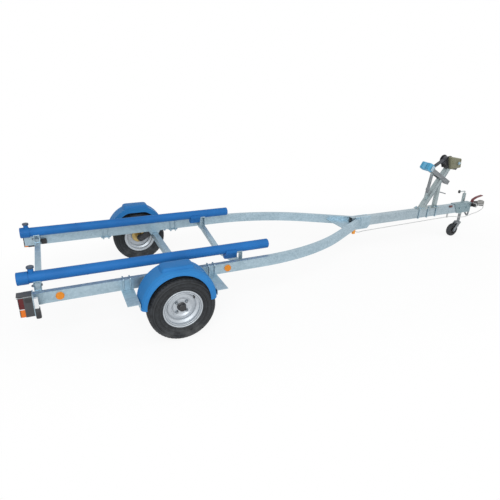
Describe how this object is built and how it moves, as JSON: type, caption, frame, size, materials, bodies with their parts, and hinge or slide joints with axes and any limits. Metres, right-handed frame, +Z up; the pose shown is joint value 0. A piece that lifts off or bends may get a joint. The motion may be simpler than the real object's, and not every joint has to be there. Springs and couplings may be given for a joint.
{
  "type": "boat trailer",
  "caption": "Galvanised single-axle boat trailer with blue padded bunks, mudguards, winch post, ball coupling and jockey wheel.",
  "frame": {"origin": "on the floor under the middle of the trailer's box", "axes": "+X towards the coupling, +Y to the left seen from behind, +Z up"},
  "size_m": [4.965, 1.624, 1.0135],
  "materials": {
    "galvanised": "spangled zinc, satin",
    "grey_steel": "satin",
    "axle_steel": "dull",
    "mudguard_blue": "gloss",
    "bunk_blue": "satin",
    "bow_blue": "satin",
    "black_plastic": "matt",
    "red_lens": "gloss",
    "amber_lens": "gloss",
    "clear_lens": "gloss",
    "black_steel": "satin",
    "olive_steel": "satin",
    "strap_webbing": "woven",
    "coupling_casting": "dull",
    "red_grip": "satin",
    "wheel_rubber": "matt",
    "rim_silver": "satin silver",
    "zinc_gold": "yellow zinc",
    "lead_rubber": "matt"
  },
  "bodies": {
    "chassis": {"axle_arms": "axle_steel", "axle_beam": "galvanised", "axle_saddles": "galvanised", "bow_arm": "grey_steel", "bow_stop": "bow_blue", "bunk_cradles": "bunk_blue", "bunk_end_caps": "bunk_blue", "bunk_guide_caps": "black_plastic", "bunk_guide_posts": "bunk_blue", "bunk_left": "bunk_blue", "bunk_right": "bunk_blue", "bunk_saddles": "galvanised", "coupling_handle": "red_grip", "coupling_head": "coupling_casting", "coupling_sleeve": "galvanised", "cross_member_front": "galvanised", "cross_member_rear": "galvanised", "drawbar": "galvanised", "jockey_clamp": "galvanised", "jockey_crank": "galvanised", "jockey_crank_knob": "black_plastic", "jockey_outer_tube": "galvanised", "junction_plates": "galvanised", "lifting_handle": "black_steel", "mudguard_brackets": "galvanised", "mudguard_left": "mudguard_blue", "mudguard_right": "mudguard_blue", "post_clamp_lever": "grey_steel", "rail_left": "galvanised", "rail_right": "galvanised", "rail_u_bolts": "galvanised", "rear_marker_lenses": "clear_lens", "side_reflectors": "amber_lens", "tail_lamp_brackets": "galvanised", "tail_lamp_housings": "black_plastic", "tail_lamp_lenses_amber": "amber_lens", "tail_lamp_lenses_red": "red_lens", "winch_cover": "olive_steel", "winch_drum": "black_steel", "winch_frame": "black_steel", "winch_mast": "galvanised", "winch_mast_braces": "galvanised", "winch_post_base": "galvanised", "winch_post_u_bolts": "galvanised", "winch_strap": "strap_webbing", "wiring_lead": "lead_rubber", "wiring_lead_fittings": "black_plastic", "wiring_lead_plug": "black_plastic"},
    "wheel_left": {"tyre_left": "wheel_rubber", "rim_left": "rim_silver", "hub_left": "zinc_gold"},
    "wheel_right": {"tyre_right": "wheel_rubber", "rim_right": "rim_silver", "hub_right": "zinc_gold"},
    "jockey_slider": {"jockey_inner_tube": "grey_steel"},
    "jockey_swivel": {"jockey_fork": "grey_steel"},
    "jockey_wheel": {"jockey_tyre": "wheel_rubber", "jockey_hub": "black_plastic"}
  },
  "joints": [
    {"name": "wheel_left_spin", "type": "hinge", "parent": "chassis", "child": "wheel_left", "pos_m": [-1.4795, 0.73, 0.243], "axis": [0, 1, 0], "continuous": true},
    {"name": "wheel_right_spin", "type": "hinge", "parent": "chassis", "child": "wheel_right", "pos_m": [-1.4795, -0.73, 0.243], "axis": [0, 1, 0], "continuous": true},
    {"name": "jockey_raise", "type": "slide", "parent": "chassis", "child": "jockey_slider", "axis": [0, 0, 1], "range_m": [0, 0.09]},
    {"name": "jockey_turn", "type": "hinge", "parent": "jockey_slider", "child": "jockey_swivel", "pos_m": [2.2355, 0.084, 0.15], "axis": [0, 0, 1], "continuous": true},
    {"name": "jockey_spin", "type": "hinge", "parent": "jockey_swivel", "child": "jockey_wheel", "pos_m": [2.1595, 0.084, 0.078], "axis": [0, 1, 0], "continuous": true}
  ]
}
